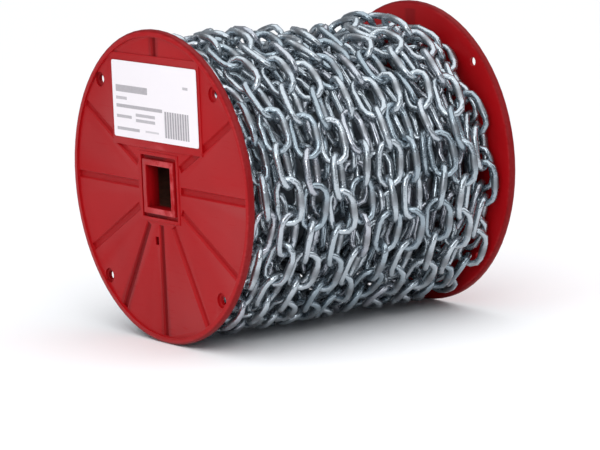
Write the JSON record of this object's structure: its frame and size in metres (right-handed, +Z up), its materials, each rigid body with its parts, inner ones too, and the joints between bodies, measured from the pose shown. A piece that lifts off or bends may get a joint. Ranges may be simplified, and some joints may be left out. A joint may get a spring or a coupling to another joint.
{
  "type": "reel of steel chain",
  "caption": "Plastic reel with two round flanges and a square arbor hole, wound nearly to the rim with bright welded steel chain.",
  "frame": {"origin": "on the floor, at the middle of the reel's box, under the middle of the axle", "axes": "+X along the axle from the labelled near flange to the far flange, +Z up, -Y to the front"},
  "size_m": [0.222, 0.2118, 0.2118],
  "materials": {
    "red_plastic": "moulded, satin",
    "label_paper": "coated white paper",
    "barrel_board": "plain wound board",
    "zinc_plated_steel": "bright zinc plating"
  },
  "bodies": {
    "root": {"near_flange": "red_plastic", "far_flange": "red_plastic", "barrel": "barrel_board", "chain_winding": "zinc_plated_steel", "label": "label_paper"}
  },
  "joints": []
}
